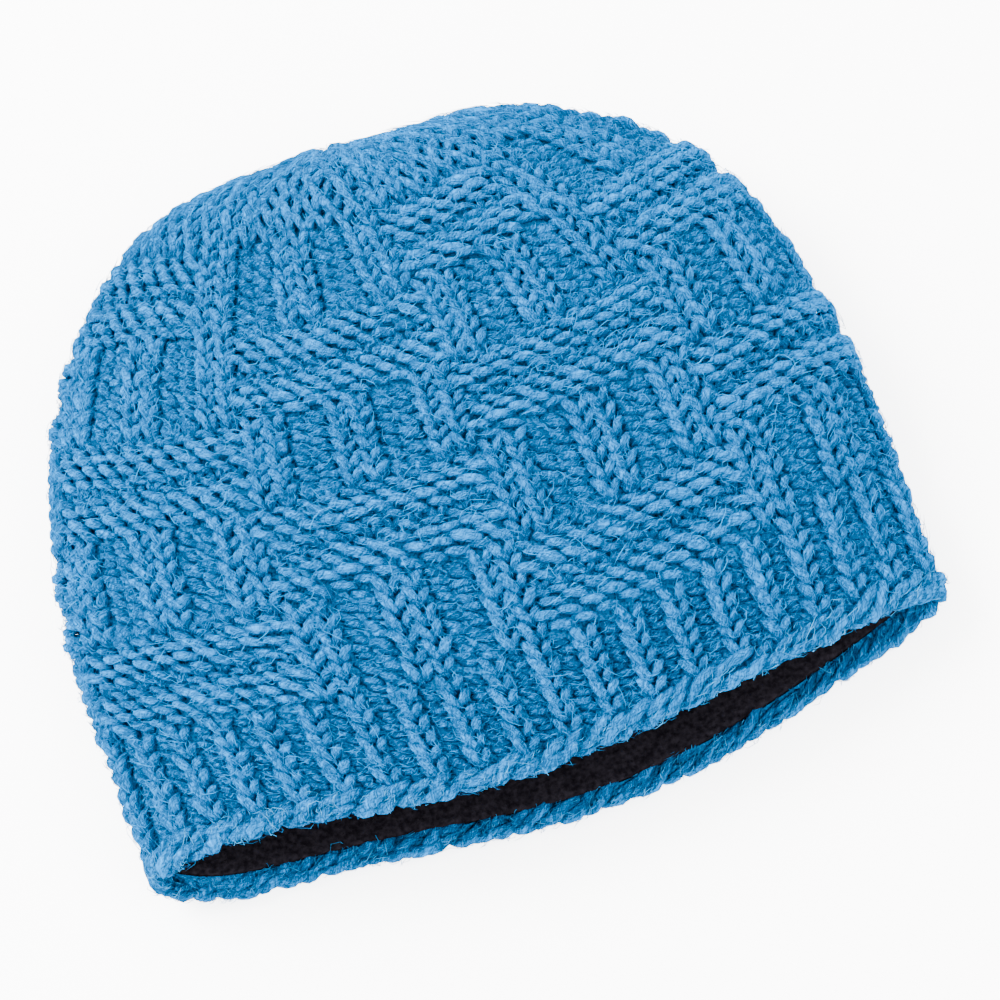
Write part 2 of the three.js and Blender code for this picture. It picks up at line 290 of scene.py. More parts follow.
def on_hat(around, along, lift):
    """Places in millimetres, lifted off the net, above the table and clear of the fleece."""
    lift = np.maximum(lift, -blend(room_net, around, along))
    out = blend(out_net, around, along)
    out = out / np.linalg.norm(out, axis=-1, keepdims=True)
    points = blend(net, around, along) + out * lift[..., None]
    points[..., 2] = np.maximum(points[..., 2], 0)
    return points


def wall_points(around, along, lift):
    """One row of a smooth wall, as the part draws it: in millimetres, at one height along the wales."""
    facing = blend(facing_net, around, np.full_like(around, along))
    sideways = np.sqrt(1 - facing ** 2)
    points = loop_points(along, even_phases(around, along), -lift * sideways)
    points[..., 1] += lift * facing
    points = swell(points, around, along)
    points[..., 2] = np.maximum(points[..., 2], max(0.0, -lift))
    return points


# %% [markdown]
# Now the yarn. A knit stitch shows two legs, which lean apart like a V; a purl stitch shows the short
# bumps where loops hook over each other. Each is a length of yarn whose ends dive under its neighbours.
# One of each is modelled: a small circle is extruded, moved and resized, ring by ring. Extrude may
# number its faces differently on each run, so they are sorted when they are read.

# %% Model the strands
STRAND_SIDES = 6


def model_strand(name, axis, stations):
    """A closed, bent strand from stations of (x, y, z, radius) in millimetres, which runs along axis."""
    turn = (math.pi / 2, 0, 0) if axis == "Y" else (0, math.pi / 2, 0)
    first = stations[0]
    bpy.ops.object.select_all(action="DESELECT")
    bpy.ops.mesh.primitive_circle_add(
        vertices=STRAND_SIDES, radius=first[3], fill_type="NGON", location=first[:3], rotation=turn
    )
    strand = bpy.context.object
    strand.name = name
    bpy.ops.object.transform_apply(location=True, rotation=True, scale=True)
    bpy.ops.object.mode_set(mode="EDIT")
    bpy.ops.mesh.select_all(action="SELECT")
    for before, here in zip(stations, stations[1:]):
        step = [here[axis_place] - before[axis_place] for axis_place in range(3)]
        bpy.ops.mesh.extrude_region_move(TRANSFORM_OT_translate={"value": step})
        grow = here[3] / before[3]
        bpy.ops.transform.resize(value=(grow, grow, grow), center_override=here[:3])
    bpy.ops.mesh.select_all(action="SELECT")
    bpy.ops.mesh.normals_make_consistent(inside=False)
    bpy.ops.object.mode_set(mode="OBJECT")
    return strand


LEFT_LEG = (
    (0.3, -3.6, -1.7, 1.0),
    (-0.35, -1.9, -0.1, 1.5),
    (-1.1, 0.2, 0.85, 1.7),
    (-1.9, 2.2, 0.9, 1.7),
    (-2.5, 4.0, 0.2, 1.45),
    (-2.9, 5.6, -1.3, 1.0),
)
RIGHT_LEG = (
    (0.7, -2.1, -1.9, 0.9),
    (1.2, -1.1, 0.1, 1.4),
    (1.85, 0.3, 1.0, 1.62),
    (2.45, 1.7, 0.9, 1.58),
    (2.95, 2.9, -0.1, 1.25),
    (3.2, 3.8, -1.9, 0.8),
)
BUMP = (
    (-3.4, 1.25, -1.25, 1.0),
    (-2.3, 0.85, -0.1, 1.4),
    (-0.75, 0.3, 0.35, 1.62),
    (0.75, -0.3, 0.35, 1.62),
    (2.3, -0.85, -0.1, 1.4),
    (3.4, -1.25, -1.25, 1.0),
)
CAST_ON_STRAND = (
    (-5.0, -2.2, -2.1, 0.9),
    (-3.8, -1.7, -0.5, 1.45),
    (-2.0, -0.8, 0.35, 1.72),
    (0.0, 0.0, 0.6, 1.8),
    (2.0, 0.7, 0.4, 1.72),
    (3.8, 1.3, -0.5, 1.4),
    (5.0, 1.6, -2.1, 0.9),
)


def strand_data(strand):
    """A strand's corners, faces and yarn coordinates as arrays; the modelled strand is then put away."""
    mesh = strand.data
    corners = np.array([vertex.co[:] for vertex in mesh.vertices])
    rings = len(corners) // STRAND_SIDES
    middles = corners.reshape(rings, STRAND_SIDES, 3).mean(axis=1)
    paces = np.linalg.norm(np.diff(middles, axis=0), axis=1)
    travel = np.concatenate([[0], np.cumsum(paces)])
    triangles = []
    yarn = []
    for face in sorted(mesh.polygons, key=lambda face: sorted(face.vertices)):
        loop = list(face.vertices)
        sides = [corner % STRAND_SIDES for corner in loop]
        wraps = max(sides) - min(sides) > STRAND_SIDES // 2
        turns = [side / STRAND_SIDES + (1 if wraps and side == 0 else 0) for side in sides]
        places = [(turn, travel[corner // STRAND_SIDES]) for turn, corner in zip(turns, loop)]
        for second in range(1, len(loop) - 1):
            triangles.append([loop[0], loop[second], loop[second + 1]])
            yarn.append([places[0], places[second], places[second + 1]])
    bpy.data.objects.remove(strand, do_unlink=True)
    return {"corners": corners, "triangles": np.array(triangles), "yarn": np.array(yarn)}


STRANDS = {
    "left": strand_data(model_strand("left_leg", "Y", LEFT_LEG)),
    "right": strand_data(model_strand("right_leg", "Y", RIGHT_LEG)),
    "bump": strand_data(model_strand("purl_bump", "X", BUMP)),
    "cast_on": strand_data(model_strand("cast_on_strand", "X", CAST_ON_STRAND)),
}
print({name: len(data["triangles"]) for name, data in STRANDS.items()})

# %% [markdown]
# Laying a strand means bending the modelled piece onto the hat: its x runs round the head, its y up the
# wale and its z out of the fabric. All copies of a strand are bent at once, with a little unevenness for
# each, because this is knitted by hand. The rows wander a little too, as they do in the photograph.

# %% Lay strands on the hat
chance = np.random.default_rng(11)
NOMINAL_PITCH = 6.3
YARN_SINK = 1.2
STRAND_TURN = {
    "left": math.radians(4), "right": math.radians(6), "bump": math.radians(8), "cast_on": math.radians(5),
}
LIFT_STRAY = 0.2
SIZE_STRAY = 0.07
SIDE_STRAY = 0.22
ROW_STRAY = 0.2
YARN_START = 40


def wander(around, along):
    """How far the courses stray from their even places, in millimetres."""
    turn = 2 * math.pi * around
    return (
        0.55 * np.sin(3 * turn + 9 * along)
        + 0.45 * np.sin(7 * turn - 14 * along + 1.3)
        + 0.35 * np.sin(13 * turn + 23 * along + 0.4)
    )


def lay(places):
    """Bends strands onto the hat. A place is (strand, around, along, lift, turn, size, wales)."""
    parts = []
    for name in sorted({place[0] for place in places}):
        chosen = np.array([place[1:] for place in places if place[0] == name])
        data = STRANDS[name]
        count = len(chosen)
        around, along, lift, turn, size, wales = chosen.T
        lift = lift + chance.normal(0, LIFT_STRAY, count)
        turn = turn + chance.normal(0, STRAND_TURN[name], count)
        size = size * chance.normal(1, SIZE_STRAY, count)
        x, y, z = (data["corners"][None, :, column] for column in range(3))
        x = x * size[:, None]
        y = y * size[:, None]
        z = z * size[:, None]
        across = x * np.cos(turn)[:, None] - y * np.sin(turn)[:, None]
        upwards = x * np.sin(turn)[:, None] + y * np.cos(turn)[:, None]
        across = across + chance.normal(0, SIDE_STRAY, count)[:, None]
        stray = wander(around, along) + chance.normal(0, ROW_STRAY, count)
        here_around = around[:, None] - across / NOMINAL_PITCH / wales[:, None]
        here_along = along[:, None] + (upwards + stray[:, None]) / WALE_LENGTH
        height = z + lift[:, None] - YARN_SINK
        points = on_hat(here_around, here_along, height) * MM
        shift = (np.arange(count) * points.shape[1])[:, None, None]
        tone = np.repeat(chance.random(count), points.shape[1])
        yarn = np.broadcast_to(data["yarn"][None], (count,) + data["yarn"].shape).copy()
        yarn[..., 1] += chance.random(count)[:, None, None] * YARN_START
        parts.append({
            "points": points.reshape(-1, 3),
            "triangles": (data["triangles"][None] + shift).reshape(-1, 3),
            "yarn": yarn.reshape(-1, 2),
            "tone": tone,
            "height": height.ravel(),
        })
    return parts


def piece_from(name, parts):
    """One object from laid parts, with yarn coordinates, each strand's tone and each corner's height."""
    starts = np.cumsum([0] + [len(part["points"]) for part in parts])
    points = np.concatenate([part["points"] for part in parts])
    triangles = np.concatenate([part["triangles"] + start for part, start in zip(parts, starts)])
    yarn = np.concatenate([part["yarn"] for part in parts])
    tone = np.concatenate([part["tone"] for part in parts])
    height = np.concatenate([part["height"] for part in parts])
    mesh = bpy.data.meshes.new(name)
    mesh.vertices.add(len(points))
    mesh.vertices.foreach_set("co", points.ravel())
    mesh.loops.add(triangles.size)
    mesh.loops.foreach_set("vertex_index", triangles.ravel())
    mesh.polygons.add(len(triangles))
    mesh.polygons.foreach_set("loop_start", np.arange(0, triangles.size, 3))
    mesh.update()
    mesh.uv_layers.new(name="yarn").data.foreach_set("uv", yarn.ravel())
    mesh.attributes.new("tone", "FLOAT", "POINT").data.foreach_set("value", tone)
    # The height is kept for the materials, which paint shade on the lower corners.
    mesh.attributes.new("height", "FLOAT", "POINT").data.foreach_set("value", height)
    mesh.polygons.foreach_set("use_smooth", np.ones(len(triangles), dtype=bool))
    mesh.validate()
    piece = bpy.data.objects.new(name, mesh)
    bpy.context.collection.objects.link(piece)
    print(name, len(triangles), "triangles")
    return piece


# %% [markdown]
# The chart. The brim is knit 1, purl 1. In the body upright blocks (knit 2, purl 2) take turns with
# blocks of cross welts: lines of purl bumps stand proud, then a knit row sinks behind them. In the last
# tier a spine of knit runs up beside each welt block.

# %% Read the chart into places
def wale_centre(wale, wales=WALES):
    """Where a wale's middle lies around the head."""
    return (wale + 0.5) / wales + 0.5 - TURN_WALES / WALES


def knit_stitch(wale, height, lift, wales=WALES, size=1.0):
    """The two legs of a knit stitch."""
    around = wale_centre(wale, wales)
    along = height / WALE_LENGTH
    return [(leg, around, along, lift, 0.0, size, wales) for leg in ("left", "right")]


def purl_stitch(wale, height, pitch, lift, size, wales=WALES):
    """The two bumps of a purl stitch, which show where loops hook over each other."""
    spots = []
    for share, side in ((-0.25, -0.12), (0.25, 0.12)):
        around = wale_centre(wale + side, wales)
        spots.append(("bump", around, (height + share * pitch) / WALE_LENGTH, lift, 0.0, size, wales))
    return spots


KNIT_LIFT = 0.1
RIB_ROWS = 6
RIB_PITCH = RIB_HEIGHT / RIB_ROWS
BRIM_START = CAST_ON_HEIGHT - 1.0
BRIM_PURL = {"lift": -1.4, "size": 0.85}
brim_places = []
for row in range(RIB_ROWS):
    height = BRIM_START + (row + 0.35) * RIB_PITCH
    for wale in range(WALES):
        if wale % 2 == 0:
            brim_places += knit_stitch(wale, height, KNIT_LIFT)
        else:
            brim_places += purl_stitch(wale, height, RIB_PITCH, BRIM_PURL["lift"], BRIM_PURL["size"])

TIER_BLOCK_WALES = (BLOCK_WALES, BLOCK_WALES, BLOCK_WALES, BLOCK_WALES, BLOCK_WALES - 2)
TIER_ROWS = 6
ROW_PITCH = TIER_HEIGHT / TIER_ROWS
WELTS = 2
WELT_HEIGHT = TIER_HEIGHT / WELTS
WELT_LINES = (
    {"height": 0.13, "lift": 0.7, "side": 0.0, "size": 1.0},
    {"height": 0.37, "lift": 1.5, "side": 0.5, "size": 1.08},
    {"height": 0.61, "lift": 1.2, "side": 0.0, "size": 1.05},
    {"height": 0.82, "lift": 0.0, "side": 0.5, "size": 0.92},
)
SUNK_ROW = {"height": 0.97, "lift": -1.5, "size": 0.9}
BODY_PURL = {"lift": -1.35, "size": 1.0}
SPINE_WALES = 2
RIGHT_FOLD = 0.28
PROUD_LIFT = 0.5
PROUD_REACH = 0.05


def upright_block(tier, block):
    """Knit 2, purl 2 over one block."""
    block_wales = TIER_BLOCK_WALES[tier]
    wales = BLOCKS * block_wales
    places = []
    for row in range(TIER_ROWS):
        height = RIM_TO_BRIM_TOP + tier * TIER_HEIGHT + (row + 0.4) * ROW_PITCH
        for step in range(block_wales):
            wale = block * block_wales + step
            if step % 4 < 2:
                places += knit_stitch(wale, height, KNIT_LIFT, wales)
            else:
                places += purl_stitch(wale, height, ROW_PITCH, BODY_PURL["lift"], BODY_PURL["size"], wales)
    return places


def fold_lift(around):
    """The share by which welts stand prouder where they bend round the right fold."""
    return PROUD_LIFT * math.exp(-(((around % 1) - RIGHT_FOLD) / PROUD_REACH) ** 2)


def welt_block(tier, block):
    """Two cross welts over one block; in the last tier they leave room for a spine of knit."""
    block_wales = TIER_BLOCK_WALES[tier]
    wales = BLOCKS * block_wales
    first = SPINE_WALES if tier == TIERS - 1 else 0
    places = []
    for welt in range(WELTS):
        start = RIM_TO_BRIM_TOP + tier * TIER_HEIGHT + welt * WELT_HEIGHT
        for line in WELT_LINES:
            along = (start + line["height"] * WELT_HEIGHT) / WALE_LENGTH
            for step in range(first, block_wales):
                around = wale_centre(block * block_wales + step + line["side"] - 0.25, wales)
                lift = line["lift"] * (1 + fold_lift(around))
                places.append(("bump", around, along, lift, 0.0, line["size"], wales))
        height = start + SUNK_ROW["height"] * WELT_HEIGHT
        for step in range(first, block_wales):
            wale = block * block_wales + step
            places += knit_stitch(wale, height, SUNK_ROW["lift"], wales, SUNK_ROW["size"])
    for row in range(TIER_ROWS):
        height = RIM_TO_BRIM_TOP + tier * TIER_HEIGHT + (row + 0.4) * ROW_PITCH
        for step in range(first):
            places += knit_stitch(block * block_wales + step, height, KNIT_LIFT, wales)
    return places


tier_places = []
for tier in range(TIERS):
    places = []
    for block in range(BLOCKS):
        places += welt_block(tier, block) if (block + tier) % 2 == 1 else upright_block(tier, block)
    tier_places.append(places)
print("strands in the brim and each tier", len(brim_places), [len(places) for places in tier_places])

# %% [markdown]
# Towards the crown the knitter takes two stitches together again and again, at the same eight lines, so
# that each course holds fewer stitches than the last, until the yarn is drawn through the last ones.

# %% The crown's courses
CROWN_COURSES = (
    {"height": 0.06, "block_wales": 7},
    {"height": 0.20, "block_wales": 6},
    {"height": 0.34, "block_wales": 5},
    {"height": 0.48, "block_wales": 4},
    {"height": 0.62, "block_wales": 3},
    {"height": 0.75, "block_wales": 2},
    {"height": 0.86, "block_wales": 1},
)
crown_places = []
for course in CROWN_COURSES:
    wales = BLOCKS * course["block_wales"]
    height = RIM_TO_CROWN + course["height"] * CROWN_HEIGHT
    for wale in range(wales):
        crown_places += knit_stitch(wale, height, KNIT_LIFT, wales)
print("strands in the crown", len(crown_places))

# %% [markdown]
# The cast-on edge is a roll of slanting loops. Its rows lie side by side round the rim: the first outside,
# the next over the edge and the last two inside, where the roll meets the fleece.

# %% The cast-on edge
EDGE_ROPES = (
    {"height": 2.7, "side": 0.0, "lift": 0.0, "size": 1.05},
    {"height": -0.3, "side": 0.4, "lift": 0.0, "size": 1.08},
    {"height": -3.1, "side": 0.7, "lift": -0.3, "size": 1.05},
    {"height": -6.0, "side": 0.2, "lift": -0.9, "size": 0.95},
    {"height": -8.6, "side": 0.6, "lift": -1.0, "size": 0.95},
)
EDGE_STRAY = {"side": 0.12, "height": 0.45, "lift": 0.25, "tilt": math.radians(9), "size": (0.88, 1.15)}
edge_places = []
for rope in EDGE_ROPES:
    for wale in range(WALES):
        around = wale_centre(wale + rope["side"] + chance.normal(0, EDGE_STRAY["side"]))
        along = (rope["height"] + chance.normal(0, EDGE_STRAY["height"])) / WALE_LENGTH
        lift = rope["lift"] + chance.normal(0, EDGE_STRAY["lift"])
        tilt = chance.normal(0, EDGE_STRAY["tilt"])
        size = rope["size"] * chance.uniform(*EDGE_STRAY["size"])
        edge_places.append(("cast_on", around, along, lift, tilt, size, WALES))
print("strands in the edge", len(edge_places))

# %% [markdown]
# Wool is never smooth: fine fibres stand off every strand, bridge the gaps and fringe the edge. Each is a
# closed sliver with pointed ends, so that thousands stay light. Short ones cover the strands and follow
# their twist; long ones wander over several strands, and now and then a free end stands up.

# %% Lay loose fibres
STATIONS = {
    "left": np.array(LEFT_LEG),
    "right": np.array(RIGHT_LEG),
    "bump": np.array(BUMP),
    "cast_on": np.array(CAST_ON_STRAND),
}
FIBRE_SIDES = 3
FIBRE_ROLL = 0.9
SHORT_FIBRE = {
    "rings": 1, "radius": 0.11, "length": (2.0, 4.6), "twist": 0.45, "stray": 0.4,
    "bow": 0.16, "arch": 0.15, "free_share": 0.4,
}
LONG_FIBRE = {
    "rings": 2, "radius": 0.08, "length": (4.0, 10.0), "twist": 0.4, "stray": 0.8,
    "bow": 0.26, "arch": 0.45, "free_share": 0.5,
}


def sliver_triangles(rings):
    """Corner numbers of one sliver: a tip, some rings of three and another tip."""
    last = 1 + rings * FIBRE_SIDES
    triangles = []
    for side in range(FIBRE_SIDES):
        after = (side + 1) % FIBRE_SIDES
        triangles.append((0, 1 + after, 1 + side))
        for ring in range(rings - 1):
            low = 1 + ring * FIBRE_SIDES
            high = low + FIBRE_SIDES
            triangles.append((low + side, low + after, high + side))
            triangles.append((low + after, high + after, high + side))
        ring = last - FIBRE_SIDES
        triangles.append((ring + side, ring + after, last))
    return np.array(triangles)


def slivers(path, radius, height):
    """Pointed tubes along paths in millimetres, as one part for piece_from."""
    count, knots, _ = path.shape
    ahead = unit(np.gradient(path, axis=1))
    first_side = unit(np.cross(ahead, np.array([0.31, 0.52, 0.79])))
    second_side = np.cross(ahead, first_side)
    rings = []
    for corner in range(FIBRE_SIDES):
        angle = 2 * math.pi * corner / FIBRE_SIDES
        spoke = math.cos(angle) * first_side + math.sin(angle) * second_side
        rings.append(path[:, 1:-1] + radius * spoke[:, 1:-1])
    rings = np.stack(rings, axis=2).reshape(count, (knots - 2) * FIBRE_SIDES, 3)
    points = np.concatenate([path[:, :1], rings, path[:, -1:]], axis=1) * MM
    shift = (np.arange(count) * points.shape[1])[:, None, None]
    triangles = (sliver_triangles(knots - 2)[None] + shift).reshape(-1, 3)
    return {
        "points": points.reshape(-1, 3),
        "triangles": triangles,
        "yarn": np.zeros((len(triangles) * 3, 2)),
        "tone": np.repeat(chance.random(count), points.shape[1]),
        "height": np.repeat(height, points.shape[1]),
    }


def fibres(places, count, kind, free_height):
    """Loose fibres over laid strands; free_height is how far the boldest ends stand up, in mm."""
    picked = chance.integers(len(places), size=count)
    names = np.array([place[0] for place in places])[picked]
    around, along, lift, tilt, size, wales = np.array([place[1:] for place in places])[picked].T
    spot = np.zeros((count, 4))
    heading = np.zeros(count)
    for name, stations in STATIONS.items():
        mine = names == name
        way = chance.uniform(0.7, len(stations) - 1.7, mine.sum())
        low = way.astype(int)
        share = (way - low)[:, None]
        spot[mine] = stations[low] * (1 - share) + stations[low + 1] * share
        step = stations[low + 1] - stations[low]
        heading[mine] = np.arctan2(step[:, 1], step[:, 0])
    roll = chance.uniform(-FIBRE_ROLL, FIBRE_ROLL, count)
    aside = np.sin(roll) * spot[:, 3]
    spot_x = spot[:, 0] - aside * np.sin(heading)
    spot_y = spot[:, 1] + aside * np.cos(heading)
    heading = heading + tilt + kind["twist"] + chance.normal(0, kind["stray"], count)
    length = chance.uniform(*kind["length"], count)
    shares = np.linspace(0, 1, kind["rings"] + 2)
    hump = (1 - (2 * shares - 1) ** 2)[None, :]
    forward = (shares - 0.5)[None, :] * length[:, None]
    sideways = chance.normal(0, kind["bow"], count)[:, None] * length[:, None] * hump
    arch = np.abs(chance.normal(0, kind["arch"], count))
    free = np.where(chance.random(count) < kind["free_share"], chance.random(count) * free_height, 0)
    x = spot_x[:, None] + forward * np.cos(heading)[:, None] - sideways * np.sin(heading)[:, None]
    y = spot_y[:, None] + forward * np.sin(heading)[:, None] + sideways * np.cos(heading)[:, None]
    height = spot[:, 2] + spot[:, 3] * np.cos(roll) + lift - YARN_SINK
    droop = 0.5 * (2 * shares - 1) ** 2
    height = height[:, None] + arch[:, None] * hump - droop + free[:, None] * shares ** 2
    path = on_hat(
        around[:, None] - x / NOMINAL_PITCH / wales[:, None], along[:, None] + y / WALE_LENGTH, height
    )
    path[..., 2] = np.maximum(path[..., 2], 2 * kind["radius"])
    return slivers(path, kind["radius"], height.mean(axis=1))


SHORT_PER_STRAND = 7.0
LONG_PER_STRAND = 1.2


def fuzz_piece(name, places, free_height, share=1.0):
    """The loose fibres of one knitted piece."""
    short = fibres(places, int(len(places) * SHORT_PER_STRAND * share), SHORT_FIBRE, free_height)
    long = fibres(places, int(len(places) * LONG_PER_STRAND * share), LONG_FIBRE, free_height)
    return piece_from(name, [short, long])


# %% [markdown]
# With every place known, the strands are laid and joined: one piece for each part of the hat, and one for
# its loose fibres. The edge is seen against black fleece, so it gets more fibres, which stand off further.

# %% Make the knitted pieces
KNIT_FREE_HEIGHT = 2.0
EDGE_FREE_HEIGHT = 2.4
EDGE_FUZZ_SHARE = 1.3
edge = piece_from("cast_on_yarn", lay(edge_places))
brim = piece_from("rib_brim_yarn", lay(brim_places))
tiers = [
    piece_from(f"basketweave_yarn_{tier + 1}", lay(places)) for tier, places in enumerate(tier_places)
]
crown = piece_from("crown_yarn", lay(crown_places))

edge_fuzz = fuzz_piece("cast_on_fuzz", edge_places, EDGE_FREE_HEIGHT, EDGE_FUZZ_SHARE)
brim_fuzz = fuzz_piece("rib_brim_fuzz", brim_places, KNIT_FREE_HEIGHT)
tier_fuzz = [
    fuzz_piece(f"basketweave_fuzz_{tier + 1}", places, KNIT_FREE_HEIGHT)
    for tier, places in enumerate(tier_places)
]
crown_fuzz = fuzz_piece("crown_fuzz", crown_places, KNIT_FREE_HEIGHT)

# %% [markdown]
# Behind the stitches the fabric has more yarn than anyone sees. A plain closed wall stands for it: rings of
# quads from the rim to the crown's centre outside, and back inside. The fleece band is such a wall too.

# %% Walls behind the yarn
WALL_STEPS = 200


def wall(name, rows, closed_tip=None):
    """A closed wall from rows of (along, lift), joined to a tube or closed at the crown."""
    around = np.arange(WALL_STEPS) / WALL_STEPS
    points = [wall_points(around, along, lift) for along, lift in rows]
    faces = []
    count = len(rows)
    for row in range(count):
        if closed_tip is not None and row == closed_tip:
            continue
        after = (row + 1) % count
        for step in range(WALL_STEPS):
            side = (step + 1) % WALL_STEPS
            faces.append((
                row * WALL_STEPS + step, after * WALL_STEPS + step,
                after * WALL_STEPS + side, row * WALL_STEPS + side,
            ))
    corners = np.concatenate(points)
    if closed_tip is not None:
        outer = closed_tip * WALL_STEPS
        inner = outer + WALL_STEPS
        tips = [points[closed_tip].mean(axis=0), points[closed_tip + 1].mean(axis=0)]
        corners = np.concatenate([corners, tips])
        for step in range(WALL_STEPS):
            side = (step + 1) % WALL_STEPS
            faces.append((outer + side, outer + step, len(corners) - 2))
            faces.append((inner + step, inner + side, len(corners) - 1))
    mesh = bpy.data.meshes.new(name)
    mesh.from_pydata((corners * MM).tolist(), [], faces)
    mesh.validate()
    piece = bpy.data.objects.new(name, mesh)
    bpy.context.collection.objects.link(piece)
    bpy.ops.object.select_all(action="DESELECT")
    piece.select_set(True)
    bpy.context.view_layer.objects.active = piece
    bpy.ops.object.mode_set(mode="EDIT")
    bpy.ops.mesh.select_all(action="SELECT")
    bpy.ops.mesh.normals_make_consistent(inside=False)
    bpy.ops.object.mode_set(mode="OBJECT")
    bpy.ops.object.shade_smooth()
    print(name, len(faces), "faces")
    return piece


BACKING_SINK = 3.0
BACKING_END = 0.985
RIM_SINK = 1.9
RIM_REACH = 0.02
RIM_STEPS = (0.0, 0.006, 0.012)
backing_alongs = np.concatenate([RIM_STEPS, np.linspace(RIM_REACH, BACKING_END, 60)])


def backing_lift(along):
    """The backing fills the rim's roll, then falls back behind the stitches."""
    share = min(along / RIM_REACH, 1.0)
    return -(RIM_SINK + (BACKING_SINK - RIM_SINK) * share)


backing = wall(
    "yarn_behind",
    [(along, backing_lift(along)) for along in backing_alongs]
    + [(along, -KNIT_WALL) for along in backing_alongs[::-1]],
    closed_tip=len(backing_alongs) - 1,
)

LINING_OUTSIDE = -(KNIT_WALL + FIT_GAP)
lining_alongs = np.linspace(LINING_SETBACK, LINING_DEPTH, 40) / WALE_LENGTH
lining = wall(
    "fleece_band",
    [(along, LINING_OUTSIDE) for along in lining_alongs]
    + [(along, LINING_OUTSIDE - LINING_WALL) for along in lining_alongs[::-1]],
)

# %% [markdown]
# Fleece is a short dense nap. Its grains come from the material; a few thousand fine ends of fibre break
# up the smooth wall near the mouth, on its edge and on its inner side.

# %% Nap on the fleece
NAP_COUNT = 6000
NAP_LENGTH = 1.9
NAP_RADIUS = 0.09
NAP_SPREAD = 1.6
NAP_ROOT = 0.1
NAP_ROWS = 18
corner_count = len(lining.data.vertices)
lining_points = np.empty(corner_count * 3)
lining_normals = np.empty(corner_count * 3)
lining.data.vertices.foreach_get("co", lining_points)
lining.data.vertex_normals.foreach_get("vector", lining_normals)
outer_rim = np.arange(WALL_STEPS)
inner_rows = np.arange(corner_count - NAP_ROWS * WALL_STEPS, corner_count)
roots = chance.choice(np.concatenate([outer_rim, inner_rows]), NAP_COUNT)
root_points = lining_points.reshape(-1, 3)[roots] / MM
root_normals = lining_normals.reshape(-1, 3)[roots]
lean = unit(np.cross(root_normals, unit(chance.normal(0, 1, (NAP_COUNT, 3)))))
aside = np.cross(root_normals, lean)
start = root_points + lean * chance.uniform(-NAP_SPREAD, NAP_SPREAD, (NAP_COUNT, 1))
start = start + aside * chance.uniform(-NAP_SPREAD, NAP_SPREAD, (NAP_COUNT, 1))
rise = chance.uniform(0.1, 0.7, (NAP_COUNT, 1))
reach = chance.uniform(0.5, 1.0, (NAP_COUNT, 1)) * NAP_LENGTH
nap_path = np.stack([
    start - NAP_ROOT * root_normals,
    start + 0.5 * reach * lean + rise * root_normals,
    start + reach * lean + 0.6 * rise * root_normals,
], axis=1)
nap = piece_from("fleece_nap", [slivers(nap_path, NAP_RADIUS, rise[:, 0])])

# %% [markdown]
# Shader maths reads best as plain expressions, so one small class wraps a socket and turns +, - and *
# into Math nodes. Any other node comes from one method that takes a type, settings and inputs.

# %% A small helper for materials
class Value:
    """A node's output that can be used in arithmetic."""

    def __init__(self, nodes, socket):
        self.nodes = nodes
        self.socket = socket

    def _math(self, operation, *others):
        inputs = dict(enumerate((self, *others)))
        return self.nodes.node("ShaderNodeMath", {"operation": operation}, inputs)

    def __add__(self, other):
        return self._math("ADD", other)

    def __mul__(self, other):
        return self._math("MULTIPLY", other)

    def __sub__(self, other):
        return self._math("SUBTRACT", other)

    def __rsub__(self, other):
        return self.nodes.node("ShaderNodeMath", {"operation": "SUBTRACT"}, {0: other, 1: self})

    __radd__ = __add__
    __rmul__ = __mul__

    def sine(self):
        return self._math("SINE")

    def absolute(self):
        return self._math("ABSOLUTE")

    def at_least(self, least):
        return self._math("MAXIMUM", least)


class Nodes:
    """The nodes of one material."""

    def __init__(self, name):
        self.material = bpy.data.materials.new(name)
        self.material.use_nodes = True
        self.tree = self.material.node_tree
        self.shader = self.tree.nodes["Principled BSDF"]

    def node(self, kind, settings=None, inputs=None, output=0):
        made = self.tree.nodes.new(kind)
        for key, value in (settings or {}).items():
            if key == "stops":
                ramp = made.color_ramp
                while len(ramp.elements) < len(value):
                    ramp.elements.new(0.5)
                for element, (place, colour) in zip(ramp.elements, value):
                    element.position = place
                    element.color = (*colour, 1)
            else:
                setattr(made, key, value)
        for key, value in (inputs or {}).items():
            self.feed(made.inputs[key], value)
        return Value(self, made.outputs[output])

    def feed(self, socket, value):
        if isinstance(value, Value):
            self.tree.links.new(value.socket, socket)
        elif hasattr(value, "__len__") and socket.type == "RGBA" and len(value) == 3:
            socket.default_value = (*value, 1)
        else:
            socket.default_value = value


# %% [markdown]
# The wool's colour follows each strand's own coordinates: one runs round the strand and one along it, and
# together they draw the twist, with painted shade in the grooves between the plies. Fine fibres, painted
# highlights along thin hairs and painted shade in the gaps between hairs add up to one shade. Strands that
# stand high catch more light than those in the valleys, so painted shade darkens each corner by how low it
# lies. Each strand's own tone also shifts its pattern, so that no two strands look alike.

# %% Wool
TWIST_LENGTH = 10.0
FIBRES_ROUND = 17.0
FIBRES_PER_MM = 0.28
TWIST_STRAY = 0.35
STRAY_SCALE = 420.0
HEIGHT_OF_TOPS = 0.6
# Painted shade: strands and fibres are painted darker the lower they lie, by this much per millimetre.
PAINTED_SHADE_PER_MM = 0.12
BASE_SHADE = 0.48
CLUMP_SHADE = 0.2
# Painted shade in the grooves between the two plies.
PAINTED_PLY_GROOVE_SHADE = 0.08
MEAN_PLY = 0.64
# Painted highlights along thin hairs.
PAINTED_HAIR_HIGHLIGHT = 0.5
# Painted shade in the gaps between hairs.
PAINTED_GAP_SHADE = 0.44
TONE_SHADE = 0.14


